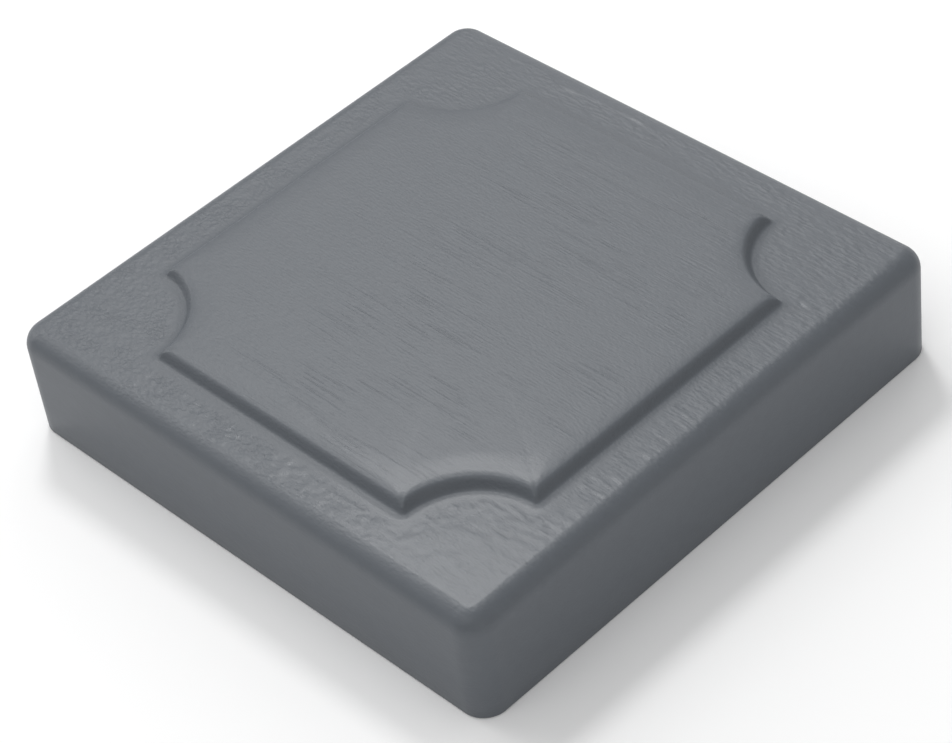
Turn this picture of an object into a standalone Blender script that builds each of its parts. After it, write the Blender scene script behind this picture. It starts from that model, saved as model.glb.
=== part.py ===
"""Square corner block for a door casing, milled from one piece of fibreboard.

The block lies on its back with its face up: +Z points out of the face, and the
origin is the middle of the back. A flat rim runs round a low raised panel whose
four corners are scooped out by quarter circles.
"""

import math

import bmesh
import bpy
from mathutils import Matrix, Vector

# Driving dimensions, in metres
SIDE = 0.100  # width and height of the block
THICKNESS = 0.022  # from the back to the top of the panel
RIM_WIDTH = 0.010  # from the block's side to the foot of the panel
SCOOP_RADIUS = 0.0134  # quarter circles that take off the panel's corners
CORNER_RADIUS = 0.0042  # upright corners of the block
FACE_ROUNDING = 0.0032  # edge between the rim and the sides
BACK_ARRIS = 0.0004  # small chamfer round the back
PANEL_RAISE = 0.0020  # height of the panel above the rim

# The panel's edge: a small hollow, a steep wall, a small round and a soft run into the flat top.
# Each pair is a distance in from the panel's foot, negative outside it, and the height reached
# there, as a share of the panel's raise.
PANEL_EDGE = (
    (-0.0011, 0.0),
    (-0.0005, 0.067),
    (-0.0002, 0.144),
    (0.0, 0.262),
    (0.0005, 0.621),
    (0.0008, 0.785),
    (0.0012, 0.881),
    (0.0018, 0.925),
    (0.0030, 0.963),
    (0.0060, 1.0),
)

# Facets of the round shapes
CORNER_SEGMENTS = 12
FACE_ROUNDING_SEGMENTS = 8
SCOOP_SEGMENTS = 20

# Finish
GREY_SKIN = (0.21, 0.225, 0.245, 1.0)
SKIN_ROUGHNESS = 0.45

RIM_HEIGHT = THICKNESS - PANEL_RAISE
PANEL_ROOT = RIM_HEIGHT / 2  # the panel reaches down into the block, so that the two join
QUARTER_TURN = math.pi / 2
SMOOTH_ANGLE = math.radians(35)
SAME = 1e-6


def clear_scene():
    for thing in list(bpy.data.objects):
        bpy.data.objects.remove(thing, do_unlink=True)


def new_collection(name):
    group = bpy.data.collections.new(name)
    bpy.context.scene.collection.children.link(group)
    return group


def new_material(name, colour, roughness, metallic):
    material = bpy.data.materials.new(name)
    material.use_nodes = True
    shader = material.node_tree.nodes["Principled BSDF"]
    shader.inputs["Base Color"].default_value = colour
    shader.inputs["Roughness"].default_value = roughness
    shader.inputs["Metallic"].default_value = metallic
    return material


def new_object(name, mesh, group, material):
    thing = bpy.data.objects.new(name, mesh)
    group.objects.link(thing)
    mesh.materials.clear()
    mesh.materials.append(material)
    return thing


def round_edges(bm, edges, width, segments):
    bmesh.ops.bevel(
        bm,
        geom=edges,
        offset=width,
        offset_type="OFFSET",
        segments=segments,
        profile=0.5,
        affect="EDGES",
    )


def edges_at_height(bm, height):
    """The edges that border a wall and lie at this height."""
    return [
        edge
        for edge in bm.edges
        if all(abs(vertex.co.z - height) < SAME for vertex in edge.verts)
        and edge.calc_face_angle(0.0) > SMOOTH_ANGLE
    ]


def upright_edges(bm):
    return [
        edge
        for edge in bm.edges
        if (edge.verts[0].co.xy - edge.verts[1].co.xy).length < SAME
    ]


def block_mesh():
    """A plate up to the rim's height, rounded at its upright corners and round its face."""
    bm = bmesh.new()
    size = Matrix.Diagonal((SIDE, SIDE, RIM_HEIGHT, 1.0))
    bmesh.ops.create_cube(bm, size=1.0, matrix=Matrix.Translation((0, 0, RIM_HEIGHT / 2)) @ size)
    round_edges(bm, upright_edges(bm), CORNER_RADIUS, CORNER_SEGMENTS)
    round_edges(bm, edges_at_height(bm, RIM_HEIGHT), FACE_ROUNDING, FACE_ROUNDING_SEGMENTS)
    round_edges(bm, edges_at_height(bm, 0.0), BACK_ARRIS, 1)
    mesh = bpy.data.meshes.new("block")
    bm.to_mesh(mesh)
    bm.free()
    return mesh


def scooped_ring(inset):
    """The panel's foot, moved in by inset: a square whose corners are arcs that curve inwards."""
    half = SIDE / 2 - RIM_WIDTH
    radius = SCOOP_RADIUS + inset
    half_span = QUARTER_TURN / 2 - math.asin(inset / radius)
    points = []
    for corner in range(4):
        outwards = QUARTER_TURN * (corner + 0.5)
        centre = half * math.sqrt(2) * Vector((math.cos(outwards), math.sin(outwards)))
        for step in range(SCOOP_SEGMENTS + 1):
            angle = outwards + math.pi + half_span * (1 - 2 * step / SCOOP_SEGMENTS)
            points.append(centre + radius * Vector((math.cos(angle), math.sin(angle))))
    return points


def panel_mesh():
    """The scooped panel in rings: its root inside the block, its foot, its edge and its flat top."""
    bm = bmesh.new()
    levels = [(PANEL_EDGE[0][0], PANEL_ROOT)]
    levels += [(inset, RIM_HEIGHT + share * PANEL_RAISE) for inset, share in PANEL_EDGE]
    rings = [[bm.verts.new((*point, z)) for point in scooped_ring(inset)] for inset, z in levels]
    for lower, upper in zip(rings, rings[1:]):
        for i in range(len(lower)):
            bm.faces.new((lower[i - 1], lower[i], upper[i], upper[i - 1]))
    bm.faces.new(rings[-1])
    bm.faces.new(reversed(rings[0]))
    bmesh.ops.triangulate(bm, faces=bm.faces)
    bmesh.ops.recalc_face_normals(bm, faces=bm.faces)
    mesh = bpy.data.meshes.new("panel")
    bm.to_mesh(mesh)
    bm.free()
    return mesh


def shade(mesh):
    mesh.shade_smooth()
    mesh.set_sharp_from_angle(angle=SMOOTH_ANGLE)


def build():
    clear_scene()
    pieces = new_collection("corner_block")
    shapes = new_collection("joined_shapes")
    skin = new_material("grey_skin", GREY_SKIN, SKIN_ROUGHNESS, 0.0)
    block = new_object("corner_block", block_mesh(), pieces, skin)
    panel = new_object("raised_panel_shape", panel_mesh(), shapes, skin)
    panel.hide_render = True
    panel.display_type = "WIRE"
    shade(block.data)
    shade(panel.data)
    join = block.modifiers.new("raised panel", "BOOLEAN")
    join.operation = "UNION"
    join.solver = "EXACT"
    join.object = panel


build()
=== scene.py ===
import math

import bpy
import numpy as np
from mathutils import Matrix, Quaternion, Vector


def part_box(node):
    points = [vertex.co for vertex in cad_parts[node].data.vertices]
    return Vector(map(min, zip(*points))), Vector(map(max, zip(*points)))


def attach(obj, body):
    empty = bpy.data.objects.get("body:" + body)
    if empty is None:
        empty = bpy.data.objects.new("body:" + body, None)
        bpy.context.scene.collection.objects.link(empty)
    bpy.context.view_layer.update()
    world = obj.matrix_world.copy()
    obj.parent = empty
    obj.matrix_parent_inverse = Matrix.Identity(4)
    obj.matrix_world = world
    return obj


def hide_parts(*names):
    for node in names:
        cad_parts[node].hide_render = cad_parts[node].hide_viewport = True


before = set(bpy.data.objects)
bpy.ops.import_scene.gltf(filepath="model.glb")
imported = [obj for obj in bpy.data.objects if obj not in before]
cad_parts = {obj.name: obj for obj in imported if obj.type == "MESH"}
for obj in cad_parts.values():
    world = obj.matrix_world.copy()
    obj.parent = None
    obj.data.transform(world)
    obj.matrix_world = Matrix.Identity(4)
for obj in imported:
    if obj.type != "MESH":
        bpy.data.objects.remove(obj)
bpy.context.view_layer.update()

# The corner block: one square of fibreboard, milled on its face to a flat rim round a low panel with
# scooped corners. A thin satin grey skin covers the face and the sides, and leaves the back bare. It is
# glued or pinned on at an upper corner of a door, where the casing's boards meet.

NODE = "corner_block"
MM = 0.001
low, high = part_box(NODE)
HALF_SIDE = (high.x - low.x) / 2
THICKNESS = high.z - low.z
PANEL_RAISE = 2.0 * MM
RIM_HEIGHT = THICKNESS - PANEL_RAISE
RIM_WIDTH = 10.0 * MM
PANEL_HALF = HALF_SIDE - RIM_WIDTH
SCOOP_RADIUS = 13.4 * MM
CUSP = PANEL_HALF - SCOOP_RADIUS
CORNER_RADIUS = 4.2 * MM
FACE_ROUNDING = 3.2 * MM
BACK_ARRIS = 0.4 * MM

# The panel's edge: its slope in degrees at these distances in from its foot. It leaves the rim in a
# shallow hollow, rises in a steep wall, turns over a small round and eases into the flat.
EDGE_REACH = np.array([-3, -2, -1.5, -1, -0.5, -0.2, 0, 0.5, 0.8, 1.2, 1.8, 2.6, 3.4, 4.4, 6]) * MM
EDGE_SLOPE = np.radians([0, 0.8, 2, 8, 9, 45, 56, 56, 40, 12, 5, 3.3, 2.6, 1.5, 0])
EDGE_SUM_STEPS = 801
CUSP_ROUNDING = 0.35 * MM
RIDGE_BLEND = 1.2  # the blend's width for each unit of distance in from the foot

STRAIGHT_STEPS = 80  # from the middle of a side to the panel's cusp
CORNER_STEPS = 134  # from one cusp round the corner to the next
ARRIS_RINGS = 3
SIDE_RINGS = 3
FACE_ROUNDING_RINGS = 9
RIM_RINGS = 34
# Distances of the rings out from the panel's foot, and in from it: ten steps to the end of the
# edge's small round and ten more to the flat
HOLLOW_RINGS = np.array([3.0, 2.6, 2.2, 1.8, 1.5, 1.2, 0.95, 0.72, 0.55, 0.42, 0.3, 0.2, 0.1]) * MM
PANEL_RINGS = np.interp(np.linspace(0, 2, 21), range(3), [0.0, 1.2, 6.0]) * MM

straight = np.arange(STRAIGHT_STEPS) / STRAIGHT_STEPS
scoop = np.arange(CORNER_STEPS) / CORNER_STEPS


def turned_four_times(x, y):
    """A quarter of a ring, from the middle of the right side to the middle of the upper one,
    followed by itself turned by 90, 180 and 270 degrees."""
    return np.concatenate([x, -y, -x, y], axis=-1), np.concatenate([y, x, -y, -x], axis=-1)


def column(values):
    """The values one below another, one for each ring."""
    return np.reshape(values, (-1, 1))


def block_ring(inset):
    """The block's outline moved in by inset: straight sides joined by arcs whose centres stay put.
    Its points run along a side to the height of the cusp, and then evenly round the corner."""
    inset = column(inset)
    run = HALF_SIDE - CORNER_RADIUS - CUSP
    arc = CORNER_RADIUS * math.pi / 2
    way = scoop * (2 * run + arc)
    before = np.clip(way, 0, run)
    turn = np.clip((way - run) / CORNER_RADIUS, 0, math.pi / 2)
    after = np.clip(way - run - arc, 0, run)
    radius = CORNER_RADIUS - inset
    corner_x = HALF_SIDE - CORNER_RADIUS + radius * np.cos(turn) - after
    corner_y = CUSP + before + radius * np.sin(turn)
    side = np.broadcast_to(HALF_SIDE - inset, (len(inset), STRAIGHT_STEPS))
    up = np.broadcast_to(CUSP * straight, side.shape)
    down = np.broadcast_to(CUSP * (1 - straight), side.shape)
    x = np.concatenate([side, corner_x, down], axis=1)
    y = np.concatenate([up, corner_y, side], axis=1)
    return turned_four_times(x, y)


def hollow_ring(outset):
    """The panel's foot moved out by outset: straight sides, a quarter turn about each cusp, and between
    two of them the scoop's arc. Its points run evenly round the corner."""
    outset = column(outset)
    turn = outset * math.pi / 2
    radius = SCOOP_RADIUS - outset
    arc = radius * math.pi / 2
    way = scoop * (2 * turn + arc)
    first = np.clip(way, 0, turn) / outset
    middle = np.clip(way - turn, 0, arc) / radius
    last = np.clip(way - turn - arc, 0, turn) / outset
    corner_x = PANEL_HALF - radius * np.sin(middle) + outset * (np.cos(first) + np.cos(last) - 1)
    corner_y = CUSP + radius * (1 - np.cos(middle)) + outset * (np.sin(first) + np.sin(last))
    side = np.broadcast_to(PANEL_HALF + outset, (len(outset), STRAIGHT_STEPS))
    up = np.broadcast_to(CUSP * straight, side.shape)
    down = np.broadcast_to(CUSP * (1 - straight), side.shape)
    x = np.concatenate([side, corner_x, down], axis=1)
    y = np.concatenate([up, corner_y, side], axis=1)
    return turned_four_times(x, y)


def panel_ring(inset):
    """The panel's foot moved in by inset: straight sides, and between them arcs about the corners of
    the square that the scoops take off. A side and an arc meet where they cross, in a sharp cusp."""
    inset = column(inset)
    radius = SCOOP_RADIUS + inset
    cusp = PANEL_HALF - np.sqrt(radius**2 - inset**2)
    half_span = math.pi / 4 - np.arcsin(inset / radius)
    angle = -3 * math.pi / 4 + half_span * (1 - 2 * scoop)
    side = np.broadcast_to(PANEL_HALF - inset, (len(inset), STRAIGHT_STEPS))
    x = np.concatenate([side, PANEL_HALF + radius * np.cos(angle), cusp * (1 - straight)], axis=1)
    y = np.concatenate([cusp * straight, PANEL_HALF + radius * np.sin(angle), side], axis=1)
    return turned_four_times(x, y)


def reach_of(x, y):
    """Distance in from the panel's foot, negative outside it: the lesser of the distances to the
    nearest side and to the nearest scoop, with a circle's curve where a cusp's two edges meet, and a
    blend of the two edges along the ridge that runs in from there, wider as it goes."""
    to_side = PANEL_HALF - np.maximum(np.abs(x), np.abs(y))
    to_scoop = np.hypot(np.abs(x) - PANEL_HALF, np.abs(y) - PANEL_HALF) - SCOOP_RADIUS
    lesser = np.maximum(np.minimum(to_side, to_scoop), CUSP_ROUNDING)
    outside = np.hypot(np.maximum(CUSP_ROUNDING - to_side, 0), np.maximum(CUSP_ROUNDING - to_scoop, 0))
    blend = RIDGE_BLEND * lesser
    return lesser - outside - blend / 4 * np.maximum(1 - np.abs(to_side - to_scoop) / blend, 0) ** 2


def edge_height(reach):
    """Height above the rim at this distance in from the panel's foot: the sum of the slopes up to
    there, scaled so that the whole edge climbs by the panel's raise."""
    steps = np.linspace(EDGE_REACH[0], EDGE_REACH[-1], EDGE_SUM_STEPS)
    climb = np.cumsum(np.tan(np.interp(steps, EDGE_REACH, EDGE_SLOPE)))
    return PANEL_RAISE * np.interp(reach, steps, climb / climb[-1])


def eased(t):
    """Rises smoothly from 0 to 1 as t does, by 3t^2 - 2t^3."""
    t = np.clip(t, 0, 1)
    return t * t * (3 - 2 * t)


LATTICE = 256  # cells each way before the noise repeats


def lattice_noise(x, y, cell, seed):
    """Smooth noise from -1 to 1: random values at the corners of cells of this width and height,
    eased from one corner to the next."""
    values = np.random.default_rng(seed).uniform(-1, 1, (LATTICE, LATTICE))
    width, height = cell
    across, up = np.floor(x / width).astype(int), np.floor(y / height).astype(int)
    s, t = eased(x / width - across), eased(y / height - up)
    near, far = [[values[(across + i) % LATTICE, (up + j) % LATTICE] for i in (0, 1)] for j in (0, 1)]
    below = near[0] + s * (near[1] - near[0])
    above = far[0] + s * (far[1] - far[0])
    return below + t * (above - below)


# The wrinkles in the mesh. A cell's two sizes are along the grain, which is X, and across it.
WRINKLE_DEPTH = 0.04 * MM
LUMP_CELL = (1.0 * MM, 0.8 * MM)
DASH_CELL = (2.4 * MM, 0.7 * MM)
BEND_ALONG = 0.5 * MM
BEND_ALONG_CELL = (2.1 * MM, 1.7 * MM)
BEND_ACROSS = 0.3 * MM
BEND_ACROSS_CELL = (1.9 * MM, 2.6 * MM)
PATCH_CELL = (7 * MM, 5 * MM)
PATCH_VARIATION = 0.25

# Lumps turn to dashes between these values of x + y, and all wrinkles grow calmer between these
# values of x - y
ALL_LUMPS = -1.5 * HALF_SIDE
ALL_DASHES = 1.5 * HALF_SIDE
CALM_START = 1.0 * HALF_SIDE
CALM_END = 1.8 * HALF_SIDE
CALMING = 0.65

CREASE_HEIGHT = 0.06 * MM
CREASE_WIDTH = 0.4 * MM
CREASE_LEFT = -27 * MM
CREASE_RIGHT = -1 * MM
CREASE_FADE = 6 * MM
CREASE_MIDDLE = (-5 * MM, 46.5 * MM)
CREASE_TILT = 0.045


def rim_relief(x, y):
    """Height of the skin's wrinkles over the milled rim: lumps towards -X and -Y, which give way to
    dashes along the grain towards +X and +Y. Both lie on coordinates that a wider noise bends a
    little, are stronger in some patches than in others, and are calmer at the corner between +X and
    -Y. One long low crease runs near the outer edge at +Y."""
    bent_x = x + BEND_ALONG * lattice_noise(x, y, BEND_ALONG_CELL, seed=1)
    bent_y = y + BEND_ACROSS * lattice_noise(x, y, BEND_ACROSS_CELL, seed=2)
    lumps = lattice_noise(bent_x, bent_y, LUMP_CELL, seed=3)
    dashes = lattice_noise(bent_x, bent_y, DASH_CELL, seed=4)
    dash_share = eased((x + y - ALL_LUMPS) / (ALL_DASHES - ALL_LUMPS))
    patches = 1 - PATCH_VARIATION + PATCH_VARIATION * lattice_noise(x, y, PATCH_CELL, seed=5)
    patches = patches * (1 - CALMING * eased((x - y - CALM_START) / (CALM_END - CALM_START)))
    crease_y = CREASE_MIDDLE[1] + CREASE_TILT * (x - CREASE_MIDDLE[0])
    crease = eased((x - CREASE_LEFT) / CREASE_FADE) * eased((CREASE_RIGHT - x) / CREASE_FADE)
    crease = crease * np.exp(-(((y - crease_y) / CREASE_WIDTH) ** 2))
    wrinkles = patches * (lumps + dash_share * (dashes - lumps))
    return WRINKLE_DEPTH * wrinkles + CREASE_HEIGHT * crease


# The relief grows from this bend of the face's rounding to its end, and fades out before the panel
RELIEF_BEND = math.radians(40)
RELIEF_GAP = 1.6 * MM
RELIEF_FADE = 1.2 * MM


def block_surface():
    """Rings from the edge of the back, up the side, over the face's rounding, across the rim, up the
    panel's edge and in over the panel. Returns x, y, z and the share of rim relief, ring by ring."""
    rings = []

    def add(ring, z, share):
        x, y = ring
        rings.append((x, y, np.broadcast_to(z, x.shape), np.broadcast_to(share, x.shape)))

    bend = np.linspace(0, math.pi / 2, ARRIS_RINGS)
    add(block_ring(BACK_ARRIS * (1 - np.sin(bend))), column(BACK_ARRIS * (1 - np.cos(bend))), 0)
    side = np.linspace(BACK_ARRIS, RIM_HEIGHT - FACE_ROUNDING, SIDE_RINGS + 1)[1:]
    add(block_ring(np.zeros(SIDE_RINGS)), column(side), 0)
    bend = np.linspace(0, math.pi / 2, FACE_ROUNDING_RINGS + 1)[1:]
    height = RIM_HEIGHT - FACE_ROUNDING * (1 - np.sin(bend))
    share = eased((bend - RELIEF_BEND) / (math.pi / 2 - RELIEF_BEND))
    add(block_ring(FACE_ROUNDING * (1 - np.cos(bend))), column(height), column(share))
    outer_x, outer_y = block_ring(FACE_ROUNDING)
    inner_x, inner_y = hollow_ring(HOLLOW_RINGS[0])
    way = column(np.linspace(0, 1, RIM_RINGS + 1)[1:-1])
    across = (outer_x + way * (inner_x - outer_x), outer_y + way * (inner_y - outer_y))
    for ring in (across, hollow_ring(HOLLOW_RINGS), panel_ring(PANEL_RINGS)):
        reach = reach_of(*ring)
        add(ring, RIM_HEIGHT + edge_height(reach), eased((-RELIEF_GAP - reach) / RELIEF_FADE))
    x, y, z, share = [np.concatenate(part) for part in zip(*rings)]
    return x, y, z + share * rim_relief(x, y), share


def mesh_of_rings(name, x, y, z):
    """Closed surface through the rings: four-sided faces between each ring and the next, and a fan at
    each end about a point in the middle of the first ring and of the last."""
    rings, steps = x.shape
    points = np.stack([x, y, z], axis=-1).reshape(-1, 3)
    points = np.concatenate([points, [points[:steps].mean(axis=0), points[-steps:].mean(axis=0)]])
    here = np.arange(steps)
    after = (here + 1) % steps
    start = column(np.arange(rings - 1) * steps)
    quads = np.stack([start + here, start + after, start + steps + after, start + steps + here], axis=-1)
    last = (rings - 1) * steps
    first_fan = np.stack([after, here, np.full(steps, rings * steps)], axis=-1)
    last_fan = np.stack([last + here, last + after, np.full(steps, rings * steps + 1)], axis=-1)
    mesh = bpy.data.meshes.new(name)
    faces = quads.reshape(-1, 4).tolist() + last_fan.tolist() + first_fan.tolist()
    mesh.from_pydata(points.tolist(), [], faces)
    mesh.shade_smooth()
    return mesh


x, y, z, share = block_surface()
block_mesh = mesh_of_rings("scooped_block", x, y, z)
rim_attribute = block_mesh.attributes.new("rim", "FLOAT", "POINT")
rim_attribute.data.foreach_set("value", np.append(share.ravel(), [0, 0]).astype(np.float32))
block = bpy.data.objects.new("scooped_block", block_mesh)
bpy.context.scene.collection.objects.link(block)


def add_node(tree, kind, values=None, **settings):
    """A new node. Each value goes to the input of that name, or is joined to it if it is an output."""
    node = tree.nodes.new(kind)
    for name, setting in settings.items():
        setattr(node, name, setting)
    for name, value in (values or {}).items():
        if isinstance(value, bpy.types.NodeSocket):
            tree.links.new(value, node.inputs[name])
        else:
            node.inputs[name].default_value = value
    return node


def stretched_noise_group():
    """Noise on the object's own coordinates, in cells of the given size."""
    group = bpy.data.node_groups.new("stretched_noise", "ShaderNodeTree")
    group.interface.new_socket("Cell", in_out="INPUT", socket_type="NodeSocketVector")
    group.interface.new_socket("Detail", in_out="INPUT", socket_type="NodeSocketFloat")
    group.interface.new_socket("Value", in_out="OUTPUT", socket_type="NodeSocketFloat")
    given = add_node(group, "NodeGroupInput")
    place = add_node(group, "ShaderNodeTexCoord")
    parts = {0: place.outputs["Object"], 1: given.outputs["Cell"]}
    cells = add_node(group, "ShaderNodeVectorMath", parts, operation="DIVIDE").outputs["Vector"]
    values = {"Vector": cells, "Scale": 1.0, "Detail": given.outputs["Detail"]}
    pattern = add_node(group, "ShaderNodeTexNoise", values)
    add_node(group, "NodeGroupOutput", {"Value": pattern.outputs["Fac"]})
    return group


noise_group = stretched_noise_group()


def noise(tree, cell_in_mm, detail=0.0):
    """Noise from 0 to 1, in cells of these sizes along X and across it."""
    along, across = cell_in_mm
    values = {"Cell": (along * MM, across * MM, across * MM), "Detail": detail}
    return add_node(tree, "ShaderNodeGroup", values, node_tree=noise_group).outputs["Value"]


def ripple(tree, cell_in_mm, height, detail=0.0):
    """Noise about zero, with this height between its lowest and its highest value."""
    values = {0: noise(tree, cell_in_mm, detail), 1: height, 2: -height / 2}
    return add_node(tree, "ShaderNodeMath", values, operation="MULTIPLY_ADD").outputs["Value"]


def maths(tree, operation, first, second):
    """The sum, difference or product of two values."""
    return add_node(tree, "ShaderNodeMath", {0: first, 1: second}, operation=operation).outputs["Value"]


def between(tree, value, start, end, to_start=0.0, to_end=1.0):
    """Goes smoothly from to_start to to_end as the value goes from start to end."""
    values = {"Value": value, "From Min": start, "From Max": end, "To Min": to_start, "To Max": to_end}
    return add_node(tree, "ShaderNodeMapRange", values, interpolation_type="SMOOTHSTEP").outputs["Result"]


def new_material(name):
    """A new material, with its node tree and its Principled shader."""
    material = bpy.data.materials.new(name)
    material.use_nodes = True
    return material, material.node_tree, material.node_tree.nodes["Principled BSDF"]


DARKER_GREY = (0.084, 0.094, 0.108, 1)
LIGHTER_GREY = (0.094, 0.106, 0.121, 1)

# The skin's relief that is too fine for the mesh, in millimetres: its heights, and the sizes of its
# cells along X and across it
LINE_HEIGHT = 0.033
LINE_CELL = (6.0, 0.30)
GROOVE_DEPTH = 0.042
GROOVE_CELL = (11.0, 0.34)
FINE_LUMP_HEIGHT = 0.21
FINE_LUMP_CELL = (0.75, 0.6)
FINE_DASH_HEIGHT = 0.20
FINE_DASH_CELL = (1.7, 0.52)
PEEL_HEIGHT = 0.055
PEEL_CELL = (0.9, 0.38)
LINED_PATCH_CELL = (14.0, 5.0)
CLUSTER_CELL = (6.0, 3.5)
MOTTLE_CELL = (3.0, 1.5)

# Values of a noise between which a patch or a groove grows to its full strength
PATCH_STEP = (0.38, 0.60)
GROOVE_STEP = (0.60, 0.78)

# The lines begin near the top of the panel's edge, and grow from the panel's left side to its middle
LINES_FROM_HEIGHT = RIM_HEIGHT + 0.8 * PANEL_RAISE
LINES_FROM_LEFT = -38 * MM

FINE_ALL_DASHES = 1.2 * HALF_SIDE  # the value of x + y past which the fine wrinkles are all dashes
PEEL_FADE = 1.5 * MM  # below the rim, the height over which the peel weakens to its share on the sides

# The least shares that are left of the relief: outside its patches, at the calm corner, on the sides
LEAST_LINES = 0.3
LEAST_CLUSTER = 0.45
LEAST_AT_CORNER = 0.55
PEEL_ON_SIDES = 0.5

skin, tree, shader = new_material("satin_skin")
place = add_node(tree, "ShaderNodeTexCoord").outputs["Object"]
place = add_node(tree, "ShaderNodeSeparateXYZ", {"Vector": place}).outputs
on_face = between(tree, place["Z"], RIM_HEIGHT - PEEL_FADE, RIM_HEIGHT, to_start=PEEL_ON_SIDES)
on_panel = between(tree, place["Z"], LINES_FROM_HEIGHT, THICKNESS)
on_rim = add_node(tree, "ShaderNodeAttribute", attribute_name="rim").outputs["Fac"]
lined = between(tree, place["X"], LINES_FROM_LEFT, 0)
patches = between(tree, noise(tree, LINED_PATCH_CELL), *PATCH_STEP, to_start=LEAST_LINES)
grooves = between(tree, noise(tree, GROOVE_CELL), *GROOVE_STEP, to_end=-GROOVE_DEPTH)
lines = ripple(tree, LINE_CELL, LINE_HEIGHT)
lines = maths(tree, "ADD", lines, grooves)
for mask in (patches, lined, on_panel):
    lines = maths(tree, "MULTIPLY", lines, mask)
dash_share = maths(tree, "ADD", place["X"], place["Y"])
dash_share = between(tree, dash_share, ALL_LUMPS, FINE_ALL_DASHES)
lumps = ripple(tree, FINE_LUMP_CELL, FINE_LUMP_HEIGHT, detail=1.0)
dashes = ripple(tree, FINE_DASH_CELL, FINE_DASH_HEIGHT, detail=0.6)
clusters = between(tree, noise(tree, CLUSTER_CELL), *PATCH_STEP, to_start=LEAST_CLUSTER)
wrinkles = add_node(tree, "ShaderNodeMix", {"Factor": dash_share, "A": lumps, "B": dashes})
wrinkles = wrinkles.outputs["Result"]
to_corner = maths(tree, "SUBTRACT", place["X"], place["Y"])
calmer = between(tree, to_corner, CALM_START, CALM_END, to_start=1.0, to_end=LEAST_AT_CORNER)
for mask in (on_rim, clusters, calmer):
    wrinkles = maths(tree, "MULTIPLY", wrinkles, mask)
peel = ripple(tree, PEEL_CELL, PEEL_HEIGHT, detail=1.0)
peel = maths(tree, "MULTIPLY", peel, on_face)
relief = maths(tree, "ADD", maths(tree, "ADD", peel, lines), wrinkles)
bump = add_node(tree, "ShaderNodeBump", {"Height": relief, "Distance": MM})
tree.links.new(bump.outputs["Normal"], shader.inputs["Normal"])
mottle = add_node(
    tree,
    "ShaderNodeMix",
    {"Factor": noise(tree, MOTTLE_CELL, detail=2.0), "A": DARKER_GREY, "B": LIGHTER_GREY},
    data_type="RGBA",
)
tree.links.new(mottle.outputs["Result"], shader.inputs["Base Color"])
shader.inputs["Roughness"].default_value = 0.47
shader.inputs["Coat Weight"].default_value = 0.06
shader.inputs["Coat Roughness"].default_value = 0.134

DARKER_FIBRE = (0.30, 0.20, 0.12, 1)
LIGHTER_FIBRE = (0.42, 0.30, 0.19, 1)
FIBRE_CELL = (2.5, 0.5)

board, tree, shader = new_material("bare_fibreboard")
fibres = add_node(
    tree,
    "ShaderNodeMix",
    {"Factor": noise(tree, FIBRE_CELL, detail=3.0), "A": DARKER_FIBRE, "B": LIGHTER_FIBRE},
    data_type="RGBA",
)
tree.links.new(fibres.outputs["Result"], shader.inputs["Base Color"])
shader.inputs["Roughness"].default_value = 0.85

block_mesh.materials.append(skin)
block_mesh.materials.append(board)
bare = np.zeros(len(block_mesh.polygons), dtype=np.int32)
bare[-x.shape[1] :] = 1  # the fan over the back
block_mesh.polygons.foreach_set("material_index", bare)

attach(block, "root")
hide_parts(NODE)

# The floor: a plain white sheet, wide enough to fill every view.
FLOOR_HALF = 2.0
floor_mesh = bpy.data.meshes.new("floor")
corners = [(-FLOOR_HALF, -FLOOR_HALF, 0), (FLOOR_HALF, -FLOOR_HALF, 0)]
corners += [(FLOOR_HALF, FLOOR_HALF, 0), (-FLOOR_HALF, FLOOR_HALF, 0)]
floor_mesh.from_pydata(corners, [], [(0, 1, 2, 3)])
floor = bpy.data.objects.new("floor", floor_mesh)
bpy.context.scene.collection.objects.link(floor)
paper, tree, shader = new_material("white_paper")
shader.inputs["Base Color"].default_value = (0.95, 0.95, 0.95, 1)
shader.inputs["Roughness"].default_value = 0.9
floor_mesh.materials.append(paper)

# The lights: soft round panels about a metre off, and a weak even light from all round.
LIGHT_DISTANCE = 1.0
world = bpy.data.worlds.new("studio")
world.use_nodes = True
world.node_tree.nodes["Background"].inputs["Color"].default_value = (1, 1, 1, 1)
world.node_tree.nodes["Background"].inputs["Strength"].default_value = 0.51
bpy.context.scene.world = world


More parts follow.
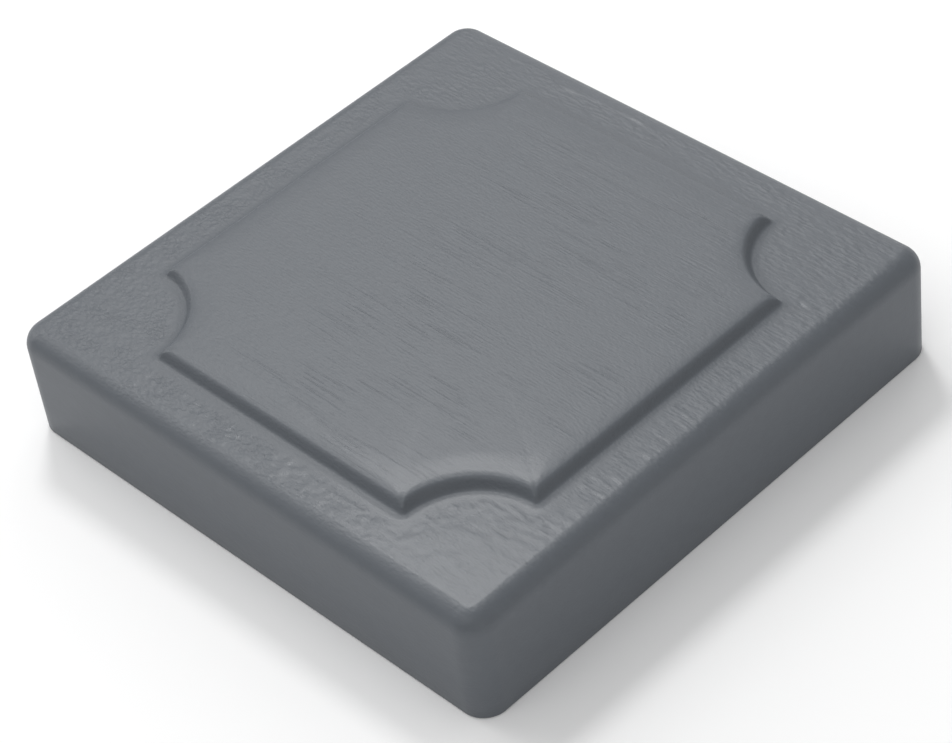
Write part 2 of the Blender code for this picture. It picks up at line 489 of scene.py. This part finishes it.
def soft_light(name, azimuth, elevation, width, watts):
    """A round panel that faces the block. Its azimuth is in degrees from +X towards +Y."""
    turn, rise = math.radians(azimuth), math.radians(elevation)
    level = math.cos(rise)
    toward = Vector((math.cos(turn) * level, math.sin(turn) * level, math.sin(rise)))
    lamp = bpy.data.lights.new(name, "AREA")
    lamp.shape = "DISK"
    lamp.size = width
    lamp.energy = watts
    holder = bpy.data.objects.new(name, lamp)
    holder.location = toward * LIGHT_DISTANCE
    holder.rotation_mode = "QUATERNION"
    holder.rotation_quaternion = toward.to_track_quat("Z", "Y")
    bpy.context.scene.collection.objects.link(holder)


soft_light("key", azimuth=144.3, elevation=53.4, width=0.21, watts=2.9)
soft_light("low_left", azimuth=198, elevation=28, width=0.54, watts=1.80)
soft_light("left", azimuth=180, elevation=52, width=0.46, watts=1.50)
soft_light("right_back", azimuth=64, elevation=40, width=0.63, watts=0.24)
soft_light("high_front", azimuth=275, elevation=57, width=0.83, watts=1.43)
soft_light("right", azimuth=345, elevation=28, width=0.73, watts=0.62)
soft_light("low_right", azimuth=30, elevation=20, width=0.50, watts=0.19)
soft_light("low_back", azimuth=120, elevation=22, width=0.54, watts=1.00)

# The camera: the photo's viewing angle, found from the block's outline and the panel's cusps.
CAMERA_AZIMUTH = math.radians(50.25)
CAMERA_ELEVATION = math.radians(42.54)
CAMERA_ROLL = math.radians(-8.48)
CAMERA_DISTANCE = 0.468
CAMERA_AIM = Vector((5.61 * MM, -5.33 * MM, 10.0 * MM))
FOCAL_LENGTH = 115.6  # in millimetres, on Blender's own film width of 36

lens = bpy.data.cameras.new("camera")
lens.lens = FOCAL_LENGTH
lens.clip_start = 0.01
camera = bpy.data.objects.new("camera", lens)
level = math.cos(CAMERA_ELEVATION)
back = Vector((math.sin(CAMERA_AZIMUTH), -math.cos(CAMERA_AZIMUTH), 0)) * level
back.z = math.sin(CAMERA_ELEVATION)
camera.location = CAMERA_AIM + back * CAMERA_DISTANCE
camera.rotation_mode = "QUATERNION"
camera.rotation_quaternion = back.to_track_quat("Z", "Y") @ Quaternion((0, 0, 1), CAMERA_ROLL)
bpy.context.scene.collection.objects.link(camera)
bpy.context.scene.camera = camera
bpy.context.scene.view_settings.view_transform = "Standard"
